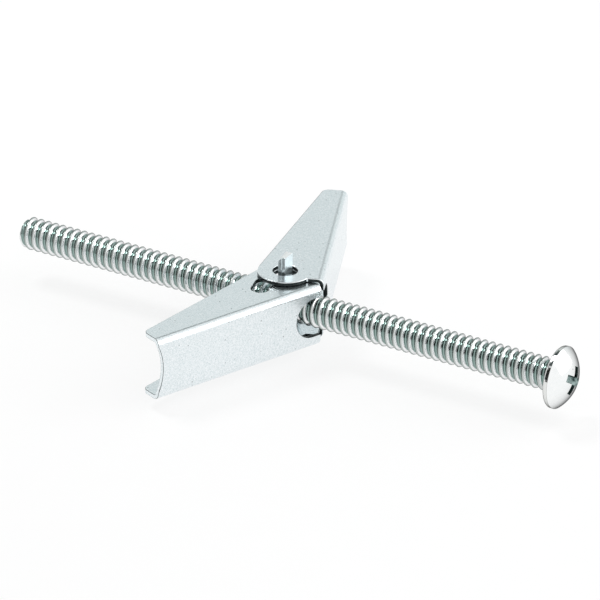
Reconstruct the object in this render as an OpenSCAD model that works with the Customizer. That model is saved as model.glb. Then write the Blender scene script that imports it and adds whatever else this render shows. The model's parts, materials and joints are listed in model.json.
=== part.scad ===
// Spring toggle bolt: a headed machine screw, a folded-plate trunnion nut, two identical
// sheet wings and the wire spring that opens them.
//
// Millimetres. The screw lies along X with its head at +X, and the wings' pivot axis is
// parallel to Z. The origin is the centre of the head's bearing face. The wings are drawn
// fully open, with the ends of their webs resting against each other.

/* [Screw] */
// Thread major diameter
thread_d = 4.15; // [4:0.05:4.4]
// Distance along the screw from one turn of the thread to the next
thread_pitch = 1.058; // [0.9:0.001:1.3]
// Depth of the thread
thread_depth = 0.57; // [0.45:0.01:0.65]
// Width of the flat on the thread's crest
crest_flat = 0.14; // [0.08:0.01:0.2]
// Width of the flat at the thread's root
root_flat = 0.26; // [0.15:0.01:0.35]
// Angle at which the thread starts, about the screw's axis
thread_turn = 115; // [0:1:359]
// Length from the head's bearing face to the free end
screw_len = 75.6; // [60:0.1:100]
// Chamfer of the thread at the free end, along the axis and across it
tip_chamfer = 0.5; // [0.3:0.05:0.8]
// Head diameter
head_d = 7.9; // [7.5:0.1:9.5]
// Height of the head's straight rim
head_rim = 0.65; // [0.4:0.05:1]
// Height of the whole head
head_h = 2.6; // [2.2:0.1:3]
// Span of the cross recess from arm end to arm end
recess_span = 3.8; // [3.2:0.1:4.2]
// Width of one arm of the cross recess
recess_arm = 1.15; // [0.9:0.05:1.3]
// Depth of the cross recess below the top of the head
recess_depth = 1.6; // [1.2:0.1:1.9]
// Angle at which the recess stands, about the screw's axis
recess_turn = 57; // [0:1:90]

/* [Wings] */
// Sheet thickness
sheet_t = 0.55; // [0.45:0.05:0.65]
// Reach from the pivot to the flange tips
wing_reach = 23.5; // [20:0.5:28]
// Distance from the pivot to the web's outer face
web_out = 5.1; // [5:0.05:5.6]
// Outside radius of the two folds
fold_r = 0.9; // [0.7:0.05:1.1]
// Radius of the ear round the pivot
ear_r = 3.45; // [3.2:0.05:3.6]
// Width of each flange at the tip
tip_flange = 3.1; // [2.6:0.1:3.6]
// Radius of the flange's free corner at the tip
tip_corner = 1; // [0.6:0.1:1.3]
// Depth of the hollow in the web's end, between the flange tips
tip_hollow = 0.75; // [0.4:0.05:1.2]
// Room between the screw and the bottom of the web's notch when the wing is open
notch_room = 1.7; // [1.2:0.1:2]
// Width of the window in the flange that lies inside
window_w = 2.35; // [2:0.05:2.6]
// Distance between the centres of the window's round ends
window_run = 1.7; // [1.2:0.1:2]
// Sweep of the open wing back from square to the screw
open_sweep = 22.4; // [20:0.1:25]

/* [Nut and spring] */
// Distance from the head's bearing face to the pivot
nut_station = 38.1; // [20:0.1:50]
// Thickness of the nut's folded plate
plate_t = 1; // [0.8:0.05:1.2]
// Width of the nut's plate across the screw
plate_w = 6.4; // [6:0.1:6.8]
// Wall of the drawn collar round the tapped hole
collar_wall = 0.45; // [0.3:0.05:0.5]
// Length of the collar past the plate
collar_len = 0.5; // [0.3:0.05:0.6]
// Width of a lug
lug_w = 1.9; // [1.6:0.05:2.2]
// Height of a lug above the ears
lug_rise = 1.8; // [1.2:0.05:2.2]
// Depth of the seam between the folded plate's two layers, on a lug's narrow sides
seam_depth = 0.12; // [0.05:0.01:0.2]
// Diameter of the spring wire
wire_d = 0.55; // [0.4:0.05:0.6]
// Reach of a spring leg's foot from the pivot, along its wing
foot_reach = 7; // [5:0.5:10]

/* [Clearances] */
// Gap between the screw and the nut's hole
thread_gap = 0.05; // [0.03:0.01:0.08]
// Gap between the screw and the sides of the web's notch
notch_gap = 0.2; // [0.05:0.01:0.3]
// Gap between the ears and between them and the nut's shoulders
ear_gap = 0.05; // [0.03:0.01:0.08]
// Gap between a lug's corners and the ears' holes
lug_gap = 0.5; // [0.2:0.05:0.6]
// Gap between the spring and what it bears on, and between its turns
spring_gap = 0.05; // [0.03:0.01:0.07]
// Gap between the inside of the coil and the lug's corners
coil_gap = 0.15; // [0.08:0.01:0.2]
// Gap between the webs' ends when the wings are open
web_gap = 0.04; // [0.02:0.01:0.1]

/* [Hidden] */
$fn = 64;
eps = 0.01;
spread = 100;

// Thread: one turn has flat sides, and the profile gives each point's place along the turn's
// pitch and its share of the depth. The first turn is cut off at the free end, and the last one
// runs into a plain neck and the head.
thread_sides = 16;
root_r = thread_d / 2 - thread_depth;
flank = (thread_pitch - crest_flat - root_flat) / 2;
thread_profile = [
    [0, 0], [root_flat, 0], [root_flat + flank, 1], [root_flat + flank + crest_flat, 1]
];
thread_rows = len(thread_profile);
thread_start = -screw_len - 1.1 * thread_pitch;
thread_end = (head_h - recess_depth) / 2;
thread_steps = floor((thread_end - thread_start) * thread_sides / thread_pitch) - thread_sides;
neck_r = thread_d / 2 + eps;
neck_len = thread_pitch * (1 + 1 / thread_sides) - thread_end + eps;

// Levels from the screw's axis: two turns of wire lie between the screw and the inner ears,
// and the two wings are one ear apart, so that their ears interleave at both ends.
coil_pitch = wire_d + spring_gap / 2;
wire_r = wire_d / 2;
wire_high = -(thread_d / 2 + spring_gap + wire_r);
wire_low = wire_high - coil_pitch;
ear_in = spring_gap + wire_r - wire_low;
ear_step = sheet_t + ear_gap;
ear_out = ear_in + sheet_t + ear_step;
wing_h = 2 * ear_out - ear_step;
wing_mid = -ear_step / 2;

// Wing, along and across.
web_in = web_out - sheet_t;
fold_in_r = fold_r - sheet_t;
stop_level = web_in - fold_in_r / 2;
web_end = web_gap / 2 / cos(open_sweep) - stop_level * tan(open_sweep);
notch_r = thread_d / 2 + notch_gap + ear_step / 2;
notch_reach = (thread_d / 2 - web_in * sin(open_sweep)) / cos(open_sweep) + notch_room;

// Back edge of the flange: the tangent from the tip to the ear.
tip_back = [wing_reach, web_out - tip_flange];
back_tangent = atan2(tip_back[1], tip_back[0]) - acos(ear_r / norm(tip_back));
back_slope = back_tangent + 90;
corner_c = [
    wing_reach - tip_corner,
    tip_back[1] - tip_corner * tan(back_slope) + tip_corner / cos(back_slope)
];

// Lug: the folded plate's end, centred on the pivot axis.
lug_corner = norm([plate_t, lug_w]) / 2;
ear_hole_r = lug_corner + lug_gap;

// Window: its outer end stands off the ear that covers it, and its inner end off the pivot hole.
window_turn = 35;
window_c = [ear_r + 1.4, 1.2];

// Nut.
bore_r = thread_d / 2 + thread_gap;
collar_r = bore_r + collar_wall;
shoulder_top = ear_in - ear_gap;
shoulder_low = wire_high + wire_r + spring_gap;
lug_top = ear_out + lug_rise;

// Spring: one turn and a third round the lower lug, with a leg and a foot for each wing.
coil_r = lug_corner + coil_gap + wire_r;
foot_bend = 0.8;
foot_start = notch_reach + 0.8;
foot_n = web_in - spring_gap - wire_r;
wire_sides = 10;
coil_steps = 32;
bend_steps = 5;

// ---- helpers ----

function unit(a) = [cos(a), sin(a)];
function turned(p, a) = [p[0] * cos(a) - p[1] * sin(a), p[0] * sin(a) + p[1] * cos(a)];
function mirrored(p) = [p[0], -p[1]];
function lifted(path, z) = [for (p = path) [p[0], p[1], z]];

// A wing's own frame has x along the wing, y out of its web and z along the pivot axis.
module place_wing() {
    translate([-nut_station, 0, 0]) rotate([0, 0, -90 - open_sweep]) children();
}

// ---- screw ----

module dome() {
    rise = head_h - head_rim;
    r = (pow(head_d / 2, 2) + rise * rise) / (2 * rise);
    intersection() {
        translate([head_h - r, 0, 0]) rotate([0, 90, 0]) sphere(r, $fn = 96);
        rotate([0, 90, 0]) cylinder(h = head_h, d = head_d);
    }
}

module cross_recess() {
    floor_r = recess_span / 2 - 0.55 * recess_depth;
    translate([head_h - recess_depth, 0, 0]) rotate([recess_turn, 0, 0]) intersection() {
        rotate([0, 90, 0])
            cylinder(h = 2 * recess_depth, r1 = floor_r, r2 = recess_span - floor_r);
        for (a = [0, 90]) rotate([a, 0, 0])
            translate([0, -recess_arm / 2, -recess_span])
                cube([2 * recess_depth, recess_arm, 2 * recess_span]);
    }
}

// Radius of the crest at x, which falls with the chamfer at the free end.
function crest_r(x) = max(root_r, min(thread_d / 2, thread_d / 2 - tip_chamfer + x + screw_len));

// Point j of the thread's profile on side i, counted from the free end.
function thread_point(i, j) =
    let (
        p = thread_profile[j],
        x = thread_start + i * thread_pitch / thread_sides + p[0],
        r = root_r + p[1] * (crest_r(x) - root_r),
        a = thread_turn + i * 360 / thread_sides
    )
        [x, r * cos(a), r * sin(a)];

// Place of that point in the list: the profile's far end is the near end of the next turn.
function thread_at(i, j) =
    j == thread_rows ? thread_at(i + thread_sides, 0)
    : i <= thread_steps ? i * thread_rows + j
    : (thread_steps + 1) * thread_rows + i - thread_steps - 1;

// The thread's surface is one strip, wound round the axis, with a fan of faces at either end.
module thread() {
    n = thread_steps;
    turn = thread_sides;
    first = [thread_start + thread_pitch / 2, 0, 0];
    last = [thread_start + (n / turn + 0.5) * thread_pitch, 0, 0];
    points = concat(
        [for (i = [0:n], j = [0:thread_rows - 1]) thread_point(i, j)],
        [for (i = [n + 1:n + turn]) thread_point(i, 0)],
        [first, last]
    );
    sides = [for (i = [0:n - 1], j = [0:thread_rows - 1])
        [thread_at(i, j + 1), thread_at(i + 1, j + 1), thread_at(i + 1, j), thread_at(i, j)]];
    rim_low = concat(
        [for (i = [0:turn]) thread_at(i, 0)],
        [for (j = [thread_rows - 1:-1:1]) thread_at(0, j)]
    );
    rim_high = concat(
        [for (j = [0:thread_rows]) thread_at(n, j)],
        [for (i = [n + turn - 1:-1:n + 1]) thread_at(i, 0)]
    );
    caps = concat(
        [for (k = [0:len(rim_low) - 1])
            [rim_low[k], rim_low[(k + 1) % len(rim_low)], len(points) - 2]],
        [for (k = [0:len(rim_high) - 1])
            [rim_high[k], rim_high[(k + 1) % len(rim_high)], len(points) - 1]]
    );
    polyhedron(points = points, faces = concat(sides, caps));
}

module machine_screw() {
    color("gainsboro") {
        difference() {
            thread();
            translate([-screw_len - spread, -spread / 2, -spread / 2]) cube(spread);
        }
        translate([-neck_len, 0, 0]) rotate([0, 90, 0]) cylinder(h = neck_len + eps, r = neck_r);
        difference() {
            dome();
            cross_recess();
        }
    }
}

// ---- nut ----

// Half of a lug's section, across the pivot axis, with the seam on its narrow side.
module lug_half() {
    polygon([
        [-plate_t / 2, 0], [plate_t / 2, 0], [plate_t / 2, lug_w / 2],
        [seam_depth / 2, lug_w / 2], [0, lug_w / 2 - seam_depth], [-seam_depth / 2, lug_w / 2],
        [-plate_t / 2, lug_w / 2]
    ]);
}

// A lug runs from inside the collar's wall to above both ears.
module lug() {
    root = bore_r - thread_gap;
    translate([0, 0, root]) linear_extrude(lug_top - root)
        for (s = [0, 1]) mirror([0, s]) lug_half();
}

// A block between the nut's shoulders, from its back face to x.
module shoulder_block(x) {
    translate([-plate_t / 2, -plate_w / 2, shoulder_low])
        cube([x + plate_t / 2, plate_w, shoulder_top - shoulder_low]);
}

// The collar stands out of the plate towards the head, and stops above the spring with it.
module trunnion_nut() {
    collar_end = plate_t / 2 + collar_len;
    color("lightsteelblue") translate([-nut_station, 0, 0]) difference() {
        union() {
            shoulder_block(plate_t / 2);
            intersection() {
                rotate([0, 90, 0]) cylinder(h = collar_end, r = collar_r);
                shoulder_block(collar_end);
            }
            for (s = [0, 1]) mirror([0, 0, s]) lug();
        }
        translate([-plate_w, 0, 0]) rotate([0, 90, 0]) cylinder(h = 2 * plate_w, r = bore_r);
    }
}

// ---- wings ----

// Channel section in the plane across the wing: x is the distance from the pivot, y the height.
module channel_half(inset, r) {
    translate([-spread, 0]) square([spread + web_out - inset - r, wing_h / 2 - inset]);
    square([web_out - inset, wing_h / 2 - inset - r]);
    translate([web_out - inset - r, wing_h / 2 - inset - r]) circle(r);
}

module channel_section() {
    difference() {
        for (s = [0, 1]) mirror([0, s]) channel_half(0, fold_r);
        for (s = [0, 1]) mirror([0, s]) channel_half(sheet_t, fold_in_r);
    }
}

// Outline of the flanges, seen along the pivot axis.
module flange_outline() {
    circle(ear_r);
    translate(corner_c) circle(tip_corner);
    polygon([
        ear_r * unit(back_tangent),
        corner_c + tip_corner * unit(back_slope - 90),
        corner_c + [tip_corner, 0],
        [wing_reach, web_out + eps],
        [web_end, web_out + eps],
        [web_end, 0],
        [0, 0]
    ]);
}

// What is cut through the web: the screw's notch and the hollow of its far end.
module web_cuts() {
    hollow_half = wing_h / 2 - fold_r;
    hollow_r = (hollow_half * hollow_half + tip_hollow * tip_hollow) / (2 * tip_hollow);
    translate([notch_reach - notch_r, 0]) circle(notch_r);
    translate([-spread, -notch_r]) square([spread + notch_reach - notch_r, 2 * notch_r]);
    translate([wing_reach - tip_hollow + hollow_r, 0]) circle(hollow_r, $fn = 128);
}

module window() {
    translate(window_c) rotate(window_turn) {
        circle(d = window_w);
        translate([-window_run, 0]) circle(d = window_w);
        translate([-window_run, -window_w / 2]) square([window_run, window_w]);
    }
}

module wing() {
    translate([0, 0, wing_mid]) difference() {
        intersection() {
            translate([-spread / 2, 0, 0]) rotate([90, 0, 90]) linear_extrude(spread) channel_section();
            translate([0, 0, -wing_h]) linear_extrude(2 * wing_h) flange_outline();
        }
        translate([0, web_out + eps, 0]) rotate([90, 0, 0])
            linear_extrude(fold_r + eps) web_cuts();
        translate([0, 0, -wing_h]) cylinder(h = 2 * wing_h, r = ear_hole_r);
        translate([0, 0, wing_h / 2 - 2 * sheet_t]) linear_extrude(3 * sheet_t) window();
    }
}

module wing_left() {
    color("gainsboro") place_wing() wing();
}

module wing_right() {
    color("silver") rotate([180, 0, 0]) place_wing() wing();
}

// ---- spring ----

// The left leg's path, seen along the pivot axis, from the tip of its foot to the coil.
foot_turn = -90 - open_sweep;
foot_tip = turned([foot_reach, foot_n], foot_turn);
foot_corner = turned([foot_start, foot_n], foot_turn);
leg_tangent = atan2(foot_corner[1], foot_corner[0]) - acos(coil_r / norm(foot_corner));
leg_turn = leg_tangent + 90;
bend_turn = leg_turn - foot_turn;
bend_run = foot_bend * tan(bend_turn / 2);
bend_c = foot_corner - bend_run * unit(leg_turn) + foot_bend * unit(leg_turn - 90);
leg_path = concat(
    [foot_tip],
    [for (i = [0:bend_steps]) bend_c + foot_bend * unit(foot_turn + 90 + bend_turn * i / bend_steps)]
);

// The whole wire: left leg, coil, right leg.
coil_turn = 360 + 2 * (leg_tangent + 180);
coil_path = [
    for (i = [0:coil_steps])
        let (q = i / coil_steps, p = coil_r * unit(leg_tangent - coil_turn * q))
            [p[0], p[1], wire_high - coil_pitch * q]
];
wire_path = concat(
    lifted(leg_path, wire_high),
    coil_path,
    lifted([for (i = [len(leg_path) - 1:-1:0]) mirrored(leg_path[i])], wire_low)
);

function along(path, i) =
    let (d = path[min(i + 1, len(path) - 1)] - path[max(i - 1, 0)]) d / norm(d);

// One ring of the wire's surface, square to the path at point i.
function wire_ring(path, i) =
    let (t = along(path, i), side = cross([0, 0, 1], t), across = side / norm(side), up = cross(t, across))
        [for (k = [0:wire_sides - 1])
            let (a = 360 * k / wire_sides) path[i] + wire_r * (cos(a) * across + sin(a) * up)];

module sweep_wire(path) {
    n = len(path);
    sides = [for (i = [0:n - 2], k = [0:wire_sides - 1])
        let (a = i * wire_sides, m = (k + 1) % wire_sides)
            [a + k, a + wire_sides + k, a + wire_sides + m, a + m]];
    polyhedron(
        points = [for (i = [0:n - 1]) each wire_ring(path, i)],
        faces = concat(
            [[for (k = [0:wire_sides - 1]) k]],
            sides,
            [[for (k = [wire_sides - 1:-1:0]) (n - 1) * wire_sides + k]]
        )
    );
}

module torsion_spring() {
    color("lightgray") translate([-nut_station, 0, 0]) sweep_wire(wire_path);
}

machine_screw();
trunnion_nut();
wing_left();
wing_right();
torsion_spring();
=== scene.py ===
# %% [markdown]
# # A spring toggle bolt
#
# A toggle bolt is a long machine screw with a pair of sprung wings on a nut. The wings fold
# along the screw to pass through a hole, spring open behind the wall, and clamp it from
# inside. All five pieces are bright zinc-plated steel. This lesson dresses the plain solids
# of the imported model: it cuts a real helical thread, rounds the sheet's edges, and gives
# every piece a plated finish.
#
# The imported model is loaded first, as a fixed frame. Its solids hold the true sizes.

import json
from math import acos, asin, atan2, cos, pi, radians, sin, tan

import bpy
import bmesh
from mathutils import Matrix, Vector


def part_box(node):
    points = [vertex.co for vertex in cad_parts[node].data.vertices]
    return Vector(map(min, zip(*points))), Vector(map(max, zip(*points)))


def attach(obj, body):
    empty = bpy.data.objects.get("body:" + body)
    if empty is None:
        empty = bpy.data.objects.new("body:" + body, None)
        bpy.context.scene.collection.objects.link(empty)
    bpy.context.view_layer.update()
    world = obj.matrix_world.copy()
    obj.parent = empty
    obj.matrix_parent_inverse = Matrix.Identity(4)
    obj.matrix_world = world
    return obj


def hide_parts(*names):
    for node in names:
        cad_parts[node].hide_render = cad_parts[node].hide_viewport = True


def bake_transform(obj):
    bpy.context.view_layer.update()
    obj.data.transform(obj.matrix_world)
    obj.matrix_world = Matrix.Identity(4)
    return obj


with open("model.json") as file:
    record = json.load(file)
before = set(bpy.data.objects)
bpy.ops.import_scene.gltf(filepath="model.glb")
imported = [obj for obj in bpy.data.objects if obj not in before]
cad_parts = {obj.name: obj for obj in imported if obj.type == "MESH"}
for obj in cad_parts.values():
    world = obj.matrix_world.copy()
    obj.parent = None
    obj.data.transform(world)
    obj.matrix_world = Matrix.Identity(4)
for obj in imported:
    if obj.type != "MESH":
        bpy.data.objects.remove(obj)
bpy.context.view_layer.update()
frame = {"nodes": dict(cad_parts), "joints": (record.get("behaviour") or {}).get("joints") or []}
MM = 0.001

scene = bpy.context.scene
scene.view_settings.view_transform = "Standard"
print("nodes:", sorted(frame["nodes"]))

# %% [markdown]
# The screw lies along X with its head at +X, and the origin is the middle of the head's
# bearing face. The sizes that the dressed pieces share with the solids are read from the
# solids' own boxes where that is possible, so the two models can't drift apart. The thread's
# own sizes follow: its pitch, its radii, and the place and angle of one point of its crest.

# %% Sizes of the screw
screw_low, screw_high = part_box("machine_screw")
TIP_X = screw_low.x
HEAD_R = screw_high.z
HEAD_H = screw_high.x
joints = {joint["name"]: joint for joint in frame["joints"]}
PIVOT = Vector(joints["wing_left_pivot"]["pos_m"])
CREST_X = PIVOT.x - 35.77 * MM
CREST_ANGLE = radians(59.8)
THREAD_R = 2.08 * MM
ROOT_R = 1.50 * MM
PITCH = 25.4 / 24 * MM
TIP_CHAMFER = 0.5 * MM
print(f"screw from {TIP_X * 1000:.1f} to {HEAD_H * 1000:.1f} mm")
print(f"head {2 * HEAD_R * 1000:.1f} mm across")

# %% [markdown]
# A few small helpers keep the node trees short. `add` makes a node, sets its fields, and
# fills each of its sockets with a value or with a link. `math_node`, `ramp` and `mix_colour`
# make the three nodes that come up most, and `group_sockets` names a tree's inputs and
# outputs.

# %% Node helpers
def add(tree, kind, fields=None, **sockets):
    """Sockets go by name, with _ for a space, or by place, as i0 or i6."""
    node = tree.nodes.new(kind)
    for name, value in (fields or {}).items():
        setattr(node, name, value)
    for name, value in sockets.items():
        by_place = name[0] == "i" and name[1:].isdigit()
        key = int(name[1:]) if by_place else name.replace("_", " ")
        if isinstance(value, bpy.types.NodeSocket):
            tree.links.new(value, node.inputs[key])
        else:
            node.inputs[key].default_value = value
    return node


def math_node(tree, operation, a, b=0.0, c=0.0):
    return add(tree, "ShaderNodeMath", {"operation": operation}, i0=a, i1=b, i2=c).outputs[0]


def ramp(tree, value, start, end, low=0.0, high=1.0, curve="LINEAR"):
    """Runs from `low` to `high` while the value runs from `start` to `end`."""
    return add(
        tree, "ShaderNodeMapRange", {"interpolation_type": curve},
        Value=value, From_Min=start, From_Max=end, To_Min=low, To_Max=high,
    ).outputs["Result"]


def mix_colour(tree, share, below, above):
    """Lays one colour over another where the mask `share` is 1."""
    layers = [c if isinstance(c, bpy.types.NodeSocket) else (*c, 1) for c in (below, above)]
    return add(
        tree, "ShaderNodeMix", {"data_type": "RGBA"}, i0=share, i6=layers[0], i7=layers[1],
    ).outputs[2]


def group_sockets(tree, inputs, outputs):
    for name, kind, value in inputs:
        socket = tree.interface.new_socket(name, in_out="INPUT", socket_type=kind)
        if value is not None:
            socket.default_value = value
    for name, kind in outputs:
        tree.interface.new_socket(name, in_out="OUTPUT", socket_type=kind)
    return tree.nodes.new("NodeGroupInput").outputs, tree.nodes.new("NodeGroupOutput").inputs


print("node helpers:", ", ".join(f.__name__ for f in (add, math_node, ramp, mix_colour)))

# %% [markdown]
# ## Finishes
#
# Zinc plating is a metal film laid down in tiny crystals over pressed or rolled steel. Seen
# close, it has a fine mottle, a few dark pits, and small changes in gloss. It could be a
# plain grey metal, but at this size the film is most of what is seen. All the pieces share
# it, so it is one shader group, used in each material with its own values. The group gives
# masks and a height only: the material around it decides what they change.

# %% The plating group
FINE_GRAIN = 9000.0
PIT_CORE, PIT_EDGE = 0.05, 0.16
PIT_SINK = -0.9


def make_plating_group():
    tree = bpy.data.node_groups.new("zinc plating", "ShaderNodeTree")
    here, there = group_sockets(
        tree,
        [
            ("Mottle Size", "NodeSocketFloat", 0.5),
            ("Pit Size", "NodeSocketFloat", 1.0),
            ("Pit Share", "NodeSocketFloat", 0.3),
        ],
        [
            ("Mottle", "NodeSocketFloat"),
            ("Pits", "NodeSocketFloat"),
            ("Height", "NodeSocketFloat"),
        ],
    )
    place = add(tree, "ShaderNodeTexCoord").outputs["Object"]
    mottle_scale = math_node(tree, "DIVIDE", 1 / MM, here["Mottle Size"])
    mottle = add(
        tree, "ShaderNodeTexNoise", Vector=place, Scale=mottle_scale, Detail=3.0, Roughness=0.6,
    ).outputs["Fac"]
    pit_scale = math_node(tree, "DIVIDE", 1 / MM, here["Pit Size"])
    cells = add(tree, "ShaderNodeTexVoronoi", Vector=place, Scale=pit_scale).outputs
    spots = ramp(tree, cells["Distance"], PIT_CORE, PIT_EDGE, 1.0, 0.0, "SMOOTHSTEP")
    draw = add(tree, "ShaderNodeSeparateColor", i0=cells["Color"]).outputs["Red"]
    pits = math_node(
        tree, "MULTIPLY", spots, math_node(tree, "LESS_THAN", draw, here["Pit Share"]),
    )
    fine = add(tree, "ShaderNodeTexNoise", Vector=place, Scale=FINE_GRAIN, Detail=2.0)
    height = math_node(tree, "MULTIPLY_ADD", mottle, 0.6, fine.outputs["Fac"])
    height = math_node(tree, "MULTIPLY_ADD", pits, PIT_SINK, height)
    for name, value in (("Mottle", mottle), ("Pits", pits), ("Height", height)):
        tree.links.new(value, there[name])
    return tree


plating = make_plating_group()
print("shader group:", plating.name, [s.name for s in plating.interface.items_tree])

# %% [markdown]
# Two thin dark lines follow a part's shape: one round the head's rim, a painted dark
# reflection, and one beside the thread's crest, painted shade. A line could be modelled, but
# it has no depth to speak of. It is a mask instead, 1 in the middle of a band of any measure
# and 0 outside it. Two finishes use it, so it is a group too.

# %% The band group
def make_band_group():
    tree = bpy.data.node_groups.new("band mask", "ShaderNodeTree")
    inputs = [(name, "NodeSocketFloat", 0.0) for name in ("Value", "Middle", "Inner", "Outer")]
    here, there = group_sockets(tree, inputs, [("Mask", "NodeSocketFloat")])
    off = math_node(tree, "SUBTRACT", here["Value"], here["Middle"])
    off = math_node(tree, "ABSOLUTE", off)
    mask = ramp(tree, off, here["Inner"], here["Outer"], 1.0, 0.0, "SMOOTHSTEP")
    tree.links.new(mask, there["Mask"])
    return tree


band_mask = make_band_group()
print("shader group:", band_mask.name, [s.name for s in band_mask.interface.items_tree])

# %% [markdown]
# A plated material mixes two tones by the mottle, darkens the pits, and lets the same height
# roughen the surface. `tones` are the darker and the lighter colour of the film, `rough` its
# gloss from the one to the other, and `bump` the strength of the relief.

# %% The plated material
MOTTLE_LOW, MOTTLE_HIGH = 0.3, 0.7
RELIEF = 0.02 * MM


def plated(
    name, tones, rough, bump, mottle_size=0.5, pit_size=1.1, pit_share=0.25, pit_tone=0.5,
):
    material = bpy.data.materials.new(name)
    material.use_nodes = True
    tree = material.node_tree
    shader = tree.nodes["Principled BSDF"]
    shader.inputs["Metallic"].default_value = 1.0
    film = add(
        tree, "ShaderNodeGroup", {"node_tree": plating},
        Mottle_Size=mottle_size, Pit_Size=pit_size, Pit_Share=pit_share,
    ).outputs
    share = ramp(tree, film["Mottle"], MOTTLE_LOW, MOTTLE_HIGH)
    tone = mix_colour(tree, share, tones[0], tones[1])
    tone = mix_colour(tree, film["Pits"], tone, tuple(pit_tone * c for c in tones[0]))
    gloss = ramp(tree, film["Mottle"], MOTTLE_LOW, MOTTLE_HIGH, *rough)
    relief = add(
        tree, "ShaderNodeBump", Strength=bump, Distance=RELIEF, Height=film["Height"],
    )
    tree.links.new(tone, shader.inputs["Base Color"])
    tree.links.new(gloss, shader.inputs["Roughness"])
    tree.links.new(relief.outputs["Normal"], shader.inputs["Normal"])
    return material


def parts_of(material):
    """The tree, the shader and the colour so far of a plated material, and X, Y and Z."""
    tree = material.node_tree
    shader = tree.nodes["Principled BSDF"]
    tone = shader.inputs["Base Color"].links[0].from_socket
    place = add(tree, "ShaderNodeTexCoord").outputs["Object"]
    return tree, shader, tone, add(tree, "ShaderNodeSeparateXYZ", Vector=place).outputs


print("plated finishes run from", MOTTLE_LOW, "to", MOTTLE_HIGH, "of the mottle")

# %% [markdown]
# The wings are the brightest sheet, with a fine mottle and small pits. Their rounded edges
# get a dark grey, painted shade that outlines them, and the edges round the pivot a near
# black, painted shade of the gap between the ears. The nut is a little duller than the wings,
# apart from the end of its upper lug, which gets a near white as a painted highlight, and the
# spring is darker drawn wire. One function makes them all, because only the values differ.

# %% The sheet, nut and wire finishes
sheet_zinc = plated(
    "wing zinc", ((0.68, 0.76, 0.78), (0.95, 0.98, 1.0)), (0.18, 0.28), 0.45,
    mottle_size=0.2, pit_size=0.7, pit_share=0.35, pit_tone=0.35,
)
# Dark grey for the rounds: painted shade that outlines the edges.
edge_painted_shade = plated("edge painted shade", ((0.08, 0.09, 0.09), (0.22, 0.24, 0.24)), (0.3, 0.4), 0.3)
# Near black for the ear edges round the pivot: painted shade of the gap between the ears.
ear_gap_painted_shade = plated(
    "ear gap painted shade", ((0.01, 0.015, 0.015), (0.06, 0.07, 0.07)), (0.25, 0.45), 0.4,
    mottle_size=0.25,
)
nut_zinc = plated("nut zinc", ((0.70, 0.78, 0.80), (0.82, 0.89, 0.91)), (0.30, 0.40), 0.25)
# The lug end's near-white copy of the plating is a painted highlight.
lug_end_painted_highlight = plated("lug end painted highlight", ((0.94, 0.95, 0.95), (0.98, 0.98, 0.98)), (0.3, 0.4), 0.15)
wire_steel = plated(
    "spring wire", ((0.28, 0.31, 0.33), (0.42, 0.45, 0.48)), (0.20, 0.32), 0.20,
)
print("finishes:", ", ".join(m.name for m in (
    sheet_zinc, edge_painted_shade, ear_gap_painted_shade, nut_zinc, lug_end_painted_highlight, wire_steel,
)))

# %% [markdown]
# The head is forged and then polished by barrelling, so it is the smoothest piece. Its rim
# gets a greyer strip and a fine grey line where the strip meets the dome, both painted dark
# reflections. Both follow X, so the material reads the place along the axis.
#
# Near its outline, polished metal mirrors the dark far corners of a room, and this white
# room has none. The shader's own socket Specular Tint stands in for them: it sets how much
# a metal mirrors where it turns away from the eye. The thread gets a weaker one.

# %% The head's finishes
PAINTED_RIM_LINE = 0.66 * MM
HEAD_EDGE_TINT = (0.12, 0.12, 0.12, 1)


def head_finish():
    material = plated(
        "head zinc", ((0.90, 0.92, 0.92), (0.95, 0.96, 0.96)), (0.06, 0.12), 0.08,
    )
    tree, shader, tone, axes = parts_of(material)
    # A fine grey line and a greyer strip at the rim: painted dark reflections on the plating.
    line = add(
        tree, "ShaderNodeGroup", {"node_tree": band_mask},
        Value=axes["X"], Middle=PAINTED_RIM_LINE, Inner=0.02 * MM, Outer=0.07 * MM,
    ).outputs["Mask"]
    tone = mix_colour(tree, math_node(tree, "MULTIPLY", line, 0.7), tone, (0.45, 0.45, 0.43))
    painted_rim_strip = ramp(tree, axes["X"], 0.55 * MM, 0.62 * MM, 0.3, 0.0)
    tone = mix_colour(tree, painted_rim_strip, tone, (0.4, 0.4, 0.36))
    tree.links.new(tone, shader.inputs["Base Color"])
    shader.inputs["Specular Tint"].default_value = HEAD_EDGE_TINT
    return material


head_zinc = head_finish()
# The recess's dark finish is painted shade.
recess_painted_shade = plated(
    "recess painted shade", ((0.01, 0.03, 0.03), (0.45, 0.58, 0.56)), (0.2, 0.3), 0.3,
    mottle_size=0.45,
)
print("finishes:", head_zinc.name, "and", recess_painted_shade.name)

# %% [markdown]
# The thread is rolled. Its material asks how far each point is from the screw's axis, and
# goes from green-grey at the root, the film's tint with painted shade of the groove, to near
# white on the flank, a painted highlight, and to a duller grey on the crest.
#
# A thin dark line of painted shade runs beside the crest. It winds round with the thread,
# so the material turns each point's angle and place along X into a phase, which is the same
# all along the helix, and lays the band mask over it.

# %% The threaded finish
FLANK_RISE, CREST_RISE = (0.28, 0.5), (0.74, 0.88)
SHADE_LINE_PHASE, SHADE_LINE_INNER, SHADE_LINE_OUTER = 0.43, 0.045, 0.085
SHADE_LINE_TONE = (0.20, 0.22, 0.21)
THREAD_EDGE_TINT = (0.35, 0.35, 0.35, 1)


def helix_phase(tree, axes):
    """Runs from 0 to 1 across each turn of the thread."""
    turn = math_node(tree, "ARCTAN2", axes["Z"], axes["Y"])
    shift = CREST_ANGLE / (2 * pi) - CREST_X / PITCH + 0.5
    turn = math_node(tree, "MULTIPLY_ADD", turn, -1 / (2 * pi), shift)
    return math_node(
        tree, "FRACT", math_node(tree, "MULTIPLY_ADD", axes["X"], 1 / PITCH, turn),
    )


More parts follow.
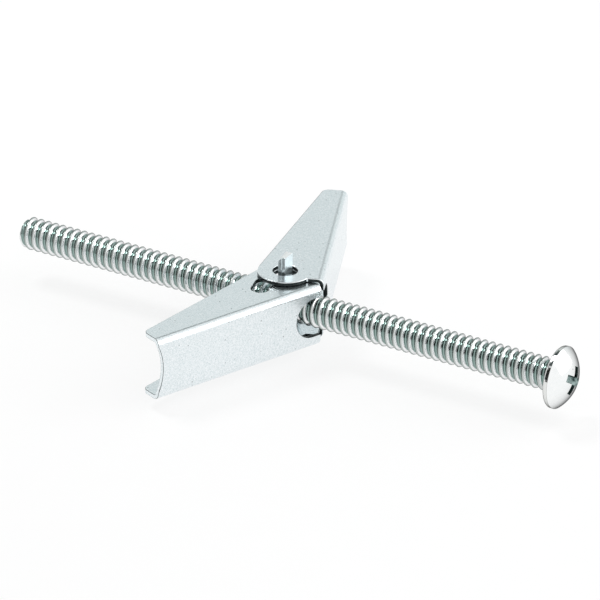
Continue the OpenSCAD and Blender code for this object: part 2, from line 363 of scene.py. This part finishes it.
def threaded(name, root, flank, crest):
    material = plated(name, (root, root), (0.1, 0.16), 0.12)
    tree, shader, tone, axes = parts_of(material)
    radius = math_node(tree, "POWER", axes["Y"], 2.0)
    radius = math_node(tree, "MULTIPLY_ADD", axes["Z"], axes["Z"], radius)
    radius = math_node(tree, "SQRT", radius)
    height, top = (
        ramp(
            tree, radius, *(ROOT_R + share * (THREAD_R - ROOT_R) for share in rise),
            curve="SMOOTHSTEP",
        )
        for rise in (FLANK_RISE, CREST_RISE)
    )
    # Root: the film's tint with painted shade of the groove; flank: a painted highlight.
    tone = mix_colour(tree, height, tone, flank)
    tone = mix_colour(tree, top, tone, crest)
    # The dark line beside the crest is painted shade.
    shade_line = add(
        tree, "ShaderNodeGroup", {"node_tree": band_mask},
        Value=helix_phase(tree, axes), Middle=SHADE_LINE_PHASE, Inner=SHADE_LINE_INNER, Outer=SHADE_LINE_OUTER,
    ).outputs["Mask"]
    tone = mix_colour(tree, shade_line, tone, SHADE_LINE_TONE)
    tree.links.new(tone, shader.inputs["Base Color"])
    tree.links.new(ramp(tree, height, 0.0, 1.0, 0.08, 0.25), shader.inputs["Roughness"])
    shader.inputs["Specular Tint"].default_value = THREAD_EDGE_TINT
    return material


thread_zinc = threaded(
    "thread zinc", (0.30, 0.40, 0.375), (0.95, 0.96, 0.97), (0.52, 0.56, 0.545),
)
print("finish:", thread_zinc.name)

# %% [markdown]
# ## The thread
#
# A machine screw's thread is one groove that winds along the shank. It could be a displaced
# cylinder, but then its crests would be ragged, because the mesh would run across the
# thread. Here the rows of a plain grid are laid along the helix instead, so every crest and
# root is one clean line of vertices. Geometry Nodes suit it, because each vertex follows one
# rule: its turn gives an angle and a place on the axis, and its row gives a radius.
#
# Both ends close in the same rule. A vertex that would run past an end stays on the end's
# plane and moves in towards the axis, which draws the flat face, and the chamfer limits the
# radius near the free end.

# %% The thread's node tree
FLANK_START, FLANK_END, FLANK_CURVE = 0.22, 0.96, 1.6
EXTRA_TURNS = 2.0


def finish_tree(tree, geometry, here, there):
    """Ends a tree: smooth shading, real geometry, and the piece's own material."""
    smooth = add(tree, "GeometryNodeSetShadeSmooth", i0=geometry)
    real = add(tree, "GeometryNodeRealizeInstances", i0=smooth.outputs[0])
    dressed = add(
        tree, "GeometryNodeSetMaterial", i0=real.outputs[0], Material=here["Material"],
    )
    tree.links.new(dressed.outputs[0], there["Geometry"])


def make_thread_tree():
    tree = bpy.data.node_groups.new("helical thread", "GeometryNodeTree")
    here, there = group_sockets(
        tree,
        [
            ("Geometry", "NodeSocketGeometry", None),
            ("Pitch", "NodeSocketFloat", PITCH),
            ("Crest Radius", "NodeSocketFloat", THREAD_R),
            ("Root Radius", "NodeSocketFloat", ROOT_R),
            ("Free End", "NodeSocketFloat", TIP_X),
            ("Head End", "NodeSocketFloat", 0.0),
            ("Chamfer", "NodeSocketFloat", TIP_CHAMFER),
            ("Start", "NodeSocketFloat", TIP_X),
            ("Steps per Turn", "NodeSocketInt", 56),
            ("Rows", "NodeSocketInt", 12),
            ("Material", "NodeSocketMaterial", None),
        ],
        [("Geometry", "NodeSocketGeometry")],
    )

    def calc(operation, a, b=0.0, c=0.0):
        return math_node(tree, operation, a, b, c)

    # The grid: one long row of steps for each line that winds along the shank.
    length = calc("SUBTRACT", here["Head End"], here["Start"])
    turns = calc("ADD", calc("DIVIDE", length, here["Pitch"]), EXTRA_TURNS)
    steps = calc("ROUND", calc("MULTIPLY", turns, here["Steps per Turn"]))
    rows = calc("ADD", here["Rows"], 1.0)
    grid = add(tree, "GeometryNodeMeshGrid", Vertices_X=steps, Vertices_Y=rows)

    index = add(tree, "GeometryNodeInputIndex").outputs[0]
    step = calc("FLOOR", calc("DIVIDE", calc("ADD", index, 0.5), rows))
    row = calc("SUBTRACT", index, calc("MULTIPLY", step, rows))
    turn = calc("DIVIDE", step, here["Steps per Turn"])
    across = calc("DIVIDE", row, here["Rows"])
    angle = calc("MULTIPLY", calc("FRACT", turn), 2 * pi)
    along = calc("MULTIPLY_ADD", calc("ADD", turn, across), here["Pitch"], here["Start"])

    # The profile: 1 on the crest, 0 at the root, with flanks that round off at both.
    ridge = calc("ABSOLUTE", calc("MULTIPLY_ADD", across, 2.0, -1.0))
    rise = ramp(tree, ridge, FLANK_START, FLANK_END)
    lift = calc("SUBTRACT", 1.0, calc("POWER", calc("SUBTRACT", 1.0, rise), FLANK_CURVE))
    depth = calc("SUBTRACT", here["Crest Radius"], here["Root Radius"])
    radius = calc("MULTIPLY_ADD", lift, depth, here["Root Radius"])

    # The ends: stay on the end's plane, under the chamfer, and close towards the axis.
    on_axis = calc("MINIMUM", calc("MAXIMUM", along, here["Free End"]), here["Head End"])
    from_tip = calc("SUBTRACT", on_axis, here["Free End"])
    cone = calc("ADD", from_tip, calc("SUBTRACT", here["Crest Radius"], here["Chamfer"]))
    radius = calc("MINIMUM", radius, cone)
    past = calc("DIVIDE", calc("ABSOLUTE", calc("SUBTRACT", along, on_axis)), here["Pitch"])
    radius = calc("MULTIPLY", radius, calc("MAXIMUM", calc("SUBTRACT", 1.0, past), 0.0))

    place = add(
        tree, "ShaderNodeCombineXYZ", X=on_axis,
        Y=calc("MULTIPLY", radius, calc("COSINE", angle)),
        Z=calc("MULTIPLY", radius, calc("SINE", angle)),
    ).outputs[0]
    wound = add(
        tree, "GeometryNodeSetPosition", Geometry=grid.outputs["Mesh"], Position=place,
    )
    closed = add(
        tree, "GeometryNodeMergeByDistance", Geometry=wound.outputs[0], Distance=0.002 * MM,
    )
    finish_tree(tree, closed.outputs[0], here, there)
    return tree


thread_tree = make_thread_tree()
print("thread tree:", len(thread_tree.nodes), "nodes")

# %% [markdown]
# A tree needs an object to work on. `grow` gives a mesh the tree, sets its inputs by their
# identifiers before anything is evaluated, and bakes the result into a plain mesh. The
# thread needs no start shape, so its mesh is empty. Its grid starts a few turns before the
# free end, so that it covers the whole shank, and its last turn ends inside the head.

# %% Grow the thread
LEAD_TURNS = 4
THREAD_END = 0.25 * MM


def bake(obj):
    """Turns an object's modifiers into its plain mesh."""
    graph = bpy.context.evaluated_depsgraph_get()
    mesh = bpy.data.meshes.new_from_object(obj.evaluated_get(graph))
    obj.modifiers.clear()
    obj.data = mesh


def grow(name, tree, values, path=()):
    seed = bpy.data.meshes.new(name + " seed")
    seed.from_pydata(path, [(i, i + 1) for i in range(len(path) - 1)], [])
    holder = bpy.data.objects.new(name, seed)
    scene.collection.objects.link(holder)
    modifier = holder.modifiers.new("grow", "NODES")
    modifier.node_group = tree
    for socket in tree.interface.items_tree:
        if socket.in_out == "INPUT" and socket.name in values:
            modifier[socket.identifier] = values[socket.name]
    bpy.context.view_layer.update()
    bake(holder)
    holder.data.name = name
    return holder


crest_at_zero = CREST_X - PITCH * CREST_ANGLE / (2 * pi)
screw = grow("threaded_screw", thread_tree, {
    "Start": crest_at_zero - LEAD_TURNS * PITCH,
    "Head End": THREAD_END,
    "Material": thread_zinc,
})
print("thread:", len(screw.data.vertices), "vertices,", len(screw.data.polygons), "faces")

# %% [markdown]
# ## The head
#
# The head is forged: a short straight rim, a low dome, and a cross recess pressed into its
# middle. A round shape like this is drawn as half a profile and spun round the axis. Its
# corners get small radii first, because a forged head has no sharp edge and those radii
# carry the bright lines of light.

# %% Spin a profile
def arc_points(centre, radius, start, end, count):
    for i in range(count + 1):
        a = start + (end - start) * i / count
        yield centre[0] + radius * cos(a), centre[1] + radius * sin(a)


def add_object(name, mesh):
    """Turns a bmesh into an object of the scene."""
    data = bpy.data.meshes.new(name)
    mesh.to_mesh(data)
    mesh.free()
    obj = bpy.data.objects.new(name, data)
    scene.collection.objects.link(obj)
    return obj


def spin_profile(name, profile, segments):
    """A closed solid from (x, radius) points that start and end on the axis."""
    mesh = bmesh.new()
    rings = []
    for x, r in profile:
        if r < 1e-7:
            rings.append([mesh.verts.new((x, 0, 0))])
            continue
        turn = [2 * pi * i / segments for i in range(segments)]
        rings.append([mesh.verts.new((x, r * cos(a), r * sin(a))) for a in turn])
    for low, high in zip(rings, rings[1:]):
        for i in range(segments):
            corners = [low[i % len(low)], low[(i + 1) % len(low)]]
            corners += [high[(i + 1) % len(high)], high[i % len(high)]]
            mesh.faces.new(list(dict.fromkeys(corners)))
    bmesh.ops.recalc_face_normals(mesh, faces=mesh.faces)
    return add_object(name, mesh)


HEAD_RIM = 0.72 * MM
RIM_ROUND = 0.38 * MM
ROUND_STEPS, DOME_STEPS, HEAD_SEGMENTS = 5, 24, 96
DOME_TRIM = 0.985
dome_rise = HEAD_H - HEAD_RIM
dome_r = (HEAD_R ** 2 + dome_rise ** 2) / (2 * dome_rise)
dome_edge = asin(HEAD_R / dome_r)
corner = (RIM_ROUND, HEAD_R - RIM_ROUND)
profile = [(0.0, 0.0), (0.0, HEAD_R - RIM_ROUND)]
profile += list(arc_points(corner, RIM_ROUND, pi, pi / 2, ROUND_STEPS))[1:]
profile += [(HEAD_RIM - 0.03 * MM, HEAD_R)]
profile += arc_points((HEAD_H - dome_r, 0.0), dome_r, DOME_TRIM * dome_edge, 0.0, DOME_STEPS)
head = spin_profile("screw_head", profile, HEAD_SEGMENTS)
print("head:", len(head.data.vertices), "vertices")

# %% [markdown]
# The recess is a cross of two tapering slots. It is cut from the head with a boolean, as
# the punch that forms it would be. Drawing the cross into the dome by hand would take many
# faces, and they would show as flats in its polish. The faces that lie under the dome get
# the darker finish, painted shade of the recess.

# %% Cut the cross recess
RECESS_DEPTH, RECESS_SPAN, RECESS_ARM = 1.6 * MM, 3.9 * MM, 1.0 * MM
RECESS_TURN = radians(57)
SLOT_DRAFT = 0.55
FLOOR_SHARE, MOUTH_SHARE = 0.4, 0.6
RECESS_SKIN, RECESS_REACH, HEAD_BACK = 0.06 * MM, 2.3 * MM, 0.3 * MM


def cross_punch(depth, span, arm, turn):
    mesh = bmesh.new()
    floor_end = (HEAD_H - depth, span / 2 - SLOT_DRAFT * depth, FLOOR_SHARE * arm)
    mouth_end = (HEAD_H + depth, span / 2 + SLOT_DRAFT * depth, MOUTH_SHARE * arm)
    for quarter in range(2):
        c, s = cos(turn + quarter * pi / 2), sin(turn + quarter * pi / 2)
        low, high = (
            [
                mesh.verts.new((x, a * c - b * s, a * s + b * c))
                for a, b in ((-reach, -half), (reach, -half), (reach, half), (-reach, half))
            ]
            for x, reach, half in (floor_end, mouth_end)
        )
        mesh.faces.new(low)
        mesh.faces.new(high)
        for i in range(4):
            mesh.faces.new((low[i], low[(i + 1) % 4], high[(i + 1) % 4], high[i]))
    bmesh.ops.recalc_face_normals(mesh, faces=mesh.faces)
    return add_object("cross punch", mesh)


punch = cross_punch(RECESS_DEPTH, RECESS_SPAN, RECESS_ARM, RECESS_TURN)
cut = head.modifiers.new("recess", "BOOLEAN")
cut.operation, cut.object, cut.solver = "DIFFERENCE", punch, "EXACT"
cut.use_self = True
soften = head.modifiers.new("soften", "BEVEL")
soften.width, soften.segments, soften.limit_method = 0.05 * MM, 2, "ANGLE"
soften.angle_limit = radians(40)
bake(head)
bpy.data.objects.remove(punch)
head.data.materials.clear()
head.data.materials.append(head_zinc)
head.data.materials.append(recess_painted_shade)
dome_centre = Vector((HEAD_H - dome_r, 0, 0))
# Faces sunk under the dome get the recess's painted shade.
for face in head.data.polygons:
    sunk = (face.center - dome_centre).length < dome_r - RECESS_SKIN
    near_axis = face.center.yz.length < RECESS_REACH
    face.material_index = int(sunk and near_axis and face.center.x > HEAD_BACK)
print("head with recess:", len(head.data.polygons), "faces")

# %% [markdown]
# ## The wings and the nut
#
# The wings are stamped from one strip and folded into a channel, and the nut is a folded
# plate whose two ends are the plain lugs that the wings hang on. Their solids are already
# right, and only their edges are too sharp: sheared sheet has a small round on one side and
# a burr on the other. Each solid is copied, its loose triangles are merged and its flat
# faces rejoined, and a small bevel rounds the edges.
#
# The copy has two or three finishes. A rule picks the faces that get the second one, and
# `edge` is the place of the one that the new rounds get.

# %% Round the edges of a copied solid
def rounded_copy(node, name, width, finishes, has_second, edge=0, shape=None):
    mesh = bmesh.new()
    mesh.from_mesh(frame["nodes"][node].data)
    bmesh.ops.remove_doubles(mesh, verts=mesh.verts, dist=0.0005 * MM)
    bmesh.ops.dissolve_limit(
        mesh, angle_limit=radians(0.5), verts=mesh.verts, edges=mesh.edges,
        use_dissolve_boundaries=False, delimit=set(),
    )
    for face in mesh.faces:
        face.material_index = int(has_second(face))
    for vert in mesh.verts if shape else ():
        vert.co.z += shape(vert.co)
    obj = add_object(name, mesh)
    obj.data.shade_smooth()
    soften = obj.modifiers.new("soften", "BEVEL")
    soften.width, soften.segments = width, 2
    soften.limit_method, soften.angle_limit = "ANGLE", radians(30)
    soften.harden_normals = True
    soften.material = edge
    flatten = obj.modifiers.new("flatten", "WEIGHTED_NORMAL")
    flatten.weight = 80
    for finish in finishes:
        obj.data.materials.append(finish)
    bake(obj)
    return obj


print("rounded copies can be made of", sorted(frame["nodes"]))

# %% [markdown]
# A wing's sheared edges are told from its sheet by where they face. The sheet's faces are
# large and lie square to the wing, and the fold between them turns about the wing's own
# length. What is left near the pivot is the edge of the ears and of their holes, which gets a
# near black, painted shade of the gap between the ears. The rounds get a dark grey, painted
# shade that outlines the edges, but on the ears they take the finish of the side that they
# face, or the dark edge would look wider than the sheet is thick.

# %% The wings
SHEET, GAP_SHADE, EDGE_SHADE = 0, 1, 2
SWEEP = radians(22.4)
EAR_REACH = 6.0 * MM
SHEET_ROUND = 0.10 * MM
SMALLEST_FLAT = 5 * MM ** 2


def ear_shade_rule(side):
    """Tells the faces of a wing's ear edges, which get painted shade: `side` is 1 for the left
    wing and -1 for the right.
    """
    along = Vector((-sin(SWEEP), -side * cos(SWEEP), 0))
    out = Vector((cos(SWEEP), -side * sin(SWEEP), 0))

    def is_ear_shade_face(face):
        turned = (abs(face.normal @ along), abs(face.normal @ out), abs(face.normal.z))
        fold = turned[0] < 0.01 and min(turned[1], turned[2]) > 0.01
        flat = max(turned[1], turned[2]) > 0.99 and face.calc_area() > SMALLEST_FLAT
        away = (face.calc_center_median() - PIVOT).xy.length > EAR_REACH
        return not (fold or flat or away)

    return is_ear_shade_face


def stamped_wing(node, name, side):
    wing = rounded_copy(
        node, name, SHEET_ROUND, (sheet_zinc, ear_gap_painted_shade, edge_painted_shade), ear_shade_rule(side), EDGE_SHADE,
    )
    for face in wing.data.polygons:
        if face.material_index == EDGE_SHADE and (face.center - PIVOT).xy.length < EAR_REACH:
            # Rounds that face the middle, towards the other wing's ear, get the painted shade of
            # the gap.
            inner = face.normal.z * face.center.z < 0
            face.material_index = GAP_SHADE if inner else SHEET
    return wing


left_wing = stamped_wing("wing_left", "left_wing", 1)
right_wing = stamped_wing("wing_right", "right_wing", -1)
for wing in (left_wing, right_wing):
    print(wing.name, len(wing.data.polygons), "faces")

# %% [markdown]
# The nut's upper lug was cut off at a slant, so its end stands higher at the back and slopes
# down to one corner. Only the few vertices at that end have to move. The end gets a near-white
# copy of the plating, a painted highlight, which makes it the palest face of the nut.

# %% The nut
NUT_ROUND = 0.05 * MM
LUG_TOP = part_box("trunnion_nut")[1].z
LUG_SKIN = 0.05 * MM
LUG_RISE, LUG_SLOPE = 0.3 * MM, 0.55 * MM
LUG_HALF_X, LUG_HALF_Y = 0.5 * MM, 0.95 * MM


def lug_top(place):
    """How much higher a point of the upper lug's end stands than the solid's flat end."""
    if place.z < LUG_TOP - LUG_SKIN:
        return 0.0
    left = min(max((PIVOT.x - place.x) / LUG_HALF_X, 0.0), 1.0)
    near = min(max((PIVOT.y - place.y) / LUG_HALF_Y, 0.0), 1.0)
    return LUG_RISE - LUG_SLOPE * left * near


# The lug's end faces get the painted highlight.
def is_lug_end(face):
    return face.normal.z > 0.9 and face.calc_center_median().z > LUG_TOP - LUG_SKIN


lug_nut = rounded_copy(
    "trunnion_nut", "lug_nut", NUT_ROUND, (nut_zinc, lug_end_painted_highlight), is_lug_end, shape=lug_top,
)
print(lug_nut.name, len(lug_nut.data.polygons), "faces")

# %% [markdown]
# ## The spring
#
# The spring is one bent wire: a coil round the lower lug, and on each side a leg that runs
# to the wing and ends in a foot along the inside of its web. It could be a curve object with
# a round bevel. Geometry Nodes suit it as well, and keep to the way of the thread: only the
# middle line has to be drawn, and a round section is swept along it.

# %% The wire's node tree
def make_wire_tree():
    tree = bpy.data.node_groups.new("round wire", "GeometryNodeTree")
    here, there = group_sockets(
        tree,
        [
            ("Geometry", "NodeSocketGeometry", None),
            ("Wire Radius", "NodeSocketFloat", 0.25 * MM),
            ("Sides", "NodeSocketInt", 20),
            ("Material", "NodeSocketMaterial", None),
        ],
        [("Geometry", "NodeSocketGeometry")],
    )
    line = add(tree, "GeometryNodeMeshToCurve", Mesh=here["Geometry"])
    section = add(
        tree, "GeometryNodeCurvePrimitiveCircle",
        Resolution=here["Sides"], Radius=here["Wire Radius"],
    )
    swept = add(
        tree, "GeometryNodeCurveToMesh",
        Curve=line.outputs[0], Profile_Curve=section.outputs[0], Fill_Caps=True,
    )
    finish_tree(tree, swept.outputs[0], here, there)
    return tree


wire_tree = make_wire_tree()
print("wire tree:", len(wire_tree.nodes), "nodes")

# %% [markdown]
# The middle line is worked out as a wire bender would do it, seen from above. The foot lies
# at a fixed distance from the wing's web. The leg leaves the coil as its tangent and meets
# the foot in a small bend. The right side is the left one mirrored, one coil's height lower,
# and the coil joins the two.

# %% The wire's middle line
spring_low, spring_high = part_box("torsion_spring")
WIRE_R = 0.275 * MM
COIL_R = 1.50 * MM
WIRE_HIGH, WIRE_LOW = spring_high.z - WIRE_R, spring_low.z + WIRE_R
FOOT_OUT, FOOT_START, FOOT_REACH = 4.225 * MM, 2.87 * MM, 7.0 * MM
FOOT_BEND = 0.8 * MM
COIL_STEPS, BEND_STEPS = 128, 10


def unit(angle):
    return Vector((cos(angle), sin(angle)))


foot_way = -pi / 2 - SWEEP
foot_side = unit(foot_way + pi / 2)
foot_tip = FOOT_REACH * unit(foot_way) + FOOT_OUT * foot_side
foot_corner = FOOT_START * unit(foot_way) + FOOT_OUT * foot_side
leg_start = atan2(foot_corner.y, foot_corner.x) - acos(COIL_R / foot_corner.length)
leg_way = leg_start + pi / 2
bend = leg_way - foot_way
bend_middle = foot_corner - FOOT_BEND * tan(bend / 2) * unit(leg_way)
bend_middle += FOOT_BEND * unit(leg_start)
leg = [foot_tip] + [
    bend_middle + FOOT_BEND * unit(foot_way + pi / 2 + bend * i / BEND_STEPS)
    for i in range(BEND_STEPS + 1)
]
coil_turn = 2 * pi + 2 * (leg_start + pi)
coil = []
for i in range(COIL_STEPS + 1):
    share = i / COIL_STEPS
    height = WIRE_HIGH + (WIRE_LOW - WIRE_HIGH) * share
    coil.append(PIVOT + Vector((*(COIL_R * unit(leg_start - coil_turn * share)), height)))
left_leg = [PIVOT + Vector((*point, WIRE_HIGH)) for point in leg]
right_leg = [PIVOT + Vector((point.x, -point.y, WIRE_LOW)) for point in reversed(leg)]
wire = left_leg + coil + right_leg
wire_length = sum((b - a).length for a, b in zip(wire, wire[1:]))
print("coil of", round(coil_turn / (2 * pi), 2), "turns,", round(wire_length / MM, 1), "mm")

# %% [markdown]
# The wire bends as the wings fold, so it can't ride on one body. It is grown as two halves
# that meet in the middle of the coil.

# %% Grow the spring's halves
spring_halves = []
middle = COIL_STEPS // 2
for name, path, wing, side in (
    ("spring_left_half", left_leg + coil[:middle + 1], "wing_left", 1),
    ("spring_right_half", coil[middle:] + right_leg, "wing_right", -1),
):
    piece = grow(name, wire_tree, {"Wire Radius": WIRE_R, "Material": wire_steel}, path)
    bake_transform(piece)
    spring_halves.append(piece)
    print(piece.name, len(piece.data.polygons), "faces")

# %% [markdown]
# ## Riding on the bodies
# The screw, the head, the nut and the wings each move with the body of the solid that they
# stand for, and hide it. The spring's halves only hide the spring's solid.

# %% Ride and replace
for piece, body, node, slot in (
    (screw, "screw", "machine_screw", "screw_zinc"),
    (head, "screw", "machine_screw", "screw_zinc"),
    (lug_nut, "nut", "trunnion_nut", "nut_zinc"),
    (left_wing, "wing_left", "wing_left", "wing_zinc"),
    (right_wing, "wing_right", "wing_right", "wing_zinc"),
):
    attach(piece, body)
    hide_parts(node)
for piece in spring_halves:
    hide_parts("torsion_spring")
print("pieces ride on their bodies")

# %% [markdown]
# ## Stage, light and camera
#
# The floor is a wide sheet of white paper. It is lit like any matte sheet, so it keeps the
# bolt's shadow. Most of its white is a glow that only the camera and mirror-like surfaces
# see: it whitens the background without putting more light on the bolt.

# %% The floor
FLOOR_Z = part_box("trunnion_nut")[0].z
FLOOR_HALF = 3.0
GLOW_SHARE = 0.8


def plane(name, middle, side, up):
    """A rectangle from its middle to its sides, as an object of the scene."""
    data = bpy.data.meshes.new(name)
    corners = ((-1, -1), (1, -1), (1, 1), (-1, 1))
    data.from_pydata([middle + a * side + b * up for a, b in corners], [], [(0, 1, 2, 3)])
    obj = bpy.data.objects.new(name, data)
    scene.collection.objects.link(obj)
    return obj


def matte(name, grain_scale, grain_detail, dark, light, rough):
    """A matte material whose grey follows a fine grain."""
    material = bpy.data.materials.new(name)
    material.use_nodes = True
    tree = material.node_tree
    shader = tree.nodes["Principled BSDF"]
    shader.inputs["Roughness"].default_value = rough
    grain = add(tree, "ShaderNodeTexNoise", Scale=grain_scale, Detail=grain_detail)
    tone = ramp(tree, grain.outputs["Fac"], 0.0, 1.0, dark, light)
    tree.links.new(tone, shader.inputs["Base Color"])
    return material, tree, shader


floor = plane(
    "floor", Vector((0, 0, FLOOR_Z)), Vector((FLOOR_HALF, 0, 0)), Vector((0, FLOOR_HALF, 0)),
)
paper, tree, shader = matte("white paper", 900.0, 2.0, 0.91, 0.95, 0.9)
rays = add(tree, "ShaderNodeLightPath").outputs
seen = math_node(tree, "MAXIMUM", rays["Is Camera Ray"], rays["Is Glossy Ray"])
seen = math_node(tree, "MAXIMUM", seen, rays["Is Transmission Ray"])
glow = add(tree, "ShaderNodeEmission", Strength=1.0)
both = add(
    tree, "ShaderNodeMixShader",
    i0=math_node(tree, "MULTIPLY", seen, GLOW_SHARE), i1=shader.outputs[0], i2=glow.outputs[0],
)
tree.links.new(both.outputs[0], tree.nodes["Material Output"].inputs["Surface"])
floor.data.materials.append(paper)
print("floor at", round(FLOOR_Z * 1000, 2), "mm")

# %% [markdown]
# Bright metal shows what is round it, so a plated part is lit by what it can reflect. The
# world is a white tent with four soft round patches, as if dark paper were pinned to its
# inside. A broad pale one behind the bolt takes the glare off the flat tops of the wings.
# Two small dark ones beside it draw the dark flecks in the thread's groove. The last is a
# dark border round the top lamp, so that the lamp's own reflection stands out as a line.
# The camera sees plain white instead.

# %% The world
TENT = (1.0, 1.0, 1.0)
# Azimuth and elevation, outer and inner radius in degrees, and colour.
TENT_PATCHES = (
    (-151, 20, 60, 25, (0.82, 0.86, 0.86)),
    (-168, 38, 15, 8, (0.25, 0.27, 0.27)),
    (-140, 49, 13, 9, (0.20, 0.25, 0.22)),
    (-92, 62, 34, 26, (0.08, 0.10, 0.10)),
)


def direction(azimuth, elevation):
    return Vector((
        sin(azimuth) * cos(elevation), -cos(azimuth) * cos(elevation), sin(elevation),
    ))


world = bpy.data.worlds.new("light tent")
scene.world = world
world.use_nodes = True
sky = world.node_tree
background = sky.nodes["Background"].inputs
background["Strength"].default_value = 1.0
way = add(sky, "ShaderNodeTexCoord").outputs["Generated"]
room = TENT
for azimuth, elevation, outer, inner, colour in TENT_PATCHES:
    near = add(
        sky, "ShaderNodeVectorMath", {"operation": "DOT_PRODUCT"},
        i0=way, i1=direction(radians(azimuth), radians(elevation)),
    ).outputs["Value"]
    patch = ramp(sky, near, cos(radians(outer)), cos(radians(inner)), curve="SMOOTHSTEP")
    room = mix_colour(sky, patch, room, colour)
is_camera = add(sky, "ShaderNodeLightPath").outputs["Is Camera Ray"]
sky.links.new(mix_colour(sky, is_camera, room, TENT), background["Color"])
print("world:", len(TENT_PATCHES), "patches,", len(sky.nodes), "nodes")

# %% [markdown]
# Two soft boxes light the bolt. The small one stands high on the left and gives the bright
# line along the thread. The wide one stands low on the right, and fills the side that the
# small one leaves dark. With the tent they light a mid grey about as it is written.

# %% The lamps
LAMP_DISTANCE = 0.6
# Name, azimuth and elevation in degrees, width and height in metres, and power in watts.
SOFT_BOXES = (
    ("top box", -92, 62, 0.20, 0.20, 1.25),
    ("side box", 118, 25, 0.56, 0.48, 1.15),
)

for name, azimuth, elevation, width, height, power in SOFT_BOXES:
    lamp = bpy.data.lights.new(name, "AREA")
    lamp.shape, lamp.size, lamp.size_y, lamp.energy = "RECTANGLE", width, height, power
    box = bpy.data.objects.new(name, lamp)
    scene.collection.objects.link(box)
    way_out = direction(radians(azimuth), radians(elevation))
    box.location = PIVOT + LAMP_DISTANCE * way_out
    box.rotation_euler = (-way_out).to_track_quat("-Z", "Y").to_euler()
    print(name, power, "W from", azimuth, elevation)

# %% [markdown]
# Polished metal looks flat in an all-white room, so a black card stands beside it and gives
# it something dark to mirror. This one puts the dark slots between the threads. It stays out
# of the camera's own sight, and reaches only as far as the slots need.

# %% The dark card
CARD_X, CARD_DISTANCE = -3 * MM, 0.15
CARD_HALF_WIDTH, CARD_HALF_HEIGHT = 40 * MM, 64 * MM
card_way = Vector((-0.50, -0.76, 0.43)).normalized()
card_side = card_way.cross(Vector((0, 0, 1))).normalized()
card_up = card_side.cross(card_way)
card_middle = Vector((CARD_X, 0, 0)) + CARD_DISTANCE * card_way
card = plane(
    "dark card", card_middle, CARD_HALF_WIDTH * card_side, CARD_HALF_HEIGHT * card_up,
)
felt = matte("black felt", 2000.0, 2.0, 0.004, 0.012, 1.0)[0]
card.data.materials.append(felt)
card.visible_camera = False
print("card:", [round(v / MM) for v in card_middle], "mm")

# %% [markdown]
# The camera looks down on the bolt from the head's side through a long lens, which keeps
# the long screw nearly free of perspective. It is aimed at the wings' pivot, and a small
# shift of the lens brings the pivot to its place in the frame.

# %% The camera
AZIMUTH, ELEVATION, ROLL = radians(29.05), radians(26.94), radians(1.12)
DISTANCE, FOCAL_PIXELS, FRAME_PIXELS = 0.916, 7382.6, 600
PIVOT_PIXEL = (284.6, 302.1)
SENSOR = 36.0
back = direction(AZIMUTH, ELEVATION)
level = Vector((cos(AZIMUTH), sin(AZIMUTH), 0))
lift = back.cross(level)
right = level * cos(ROLL) + lift * sin(ROLL)
top = -level * sin(ROLL) + lift * cos(ROLL)
turn = Matrix((right, top, back)).transposed().to_4x4()
camera_data = bpy.data.cameras.new("camera")
camera_data.sensor_width = SENSOR
camera_data.lens = SENSOR * FOCAL_PIXELS / FRAME_PIXELS
camera_data.shift_x = (FRAME_PIXELS / 2 - PIVOT_PIXEL[0]) / FRAME_PIXELS
camera_data.shift_y = (PIVOT_PIXEL[1] - FRAME_PIXELS / 2) / FRAME_PIXELS
camera_data.clip_start, camera_data.clip_end = 0.05, 20.0
camera = bpy.data.objects.new("camera", camera_data)
camera.matrix_world = Matrix.Translation(PIVOT + back * DISTANCE) @ turn
scene.collection.objects.link(camera)
scene.camera = camera
print("lens:", round(camera_data.lens, 1), "mm")
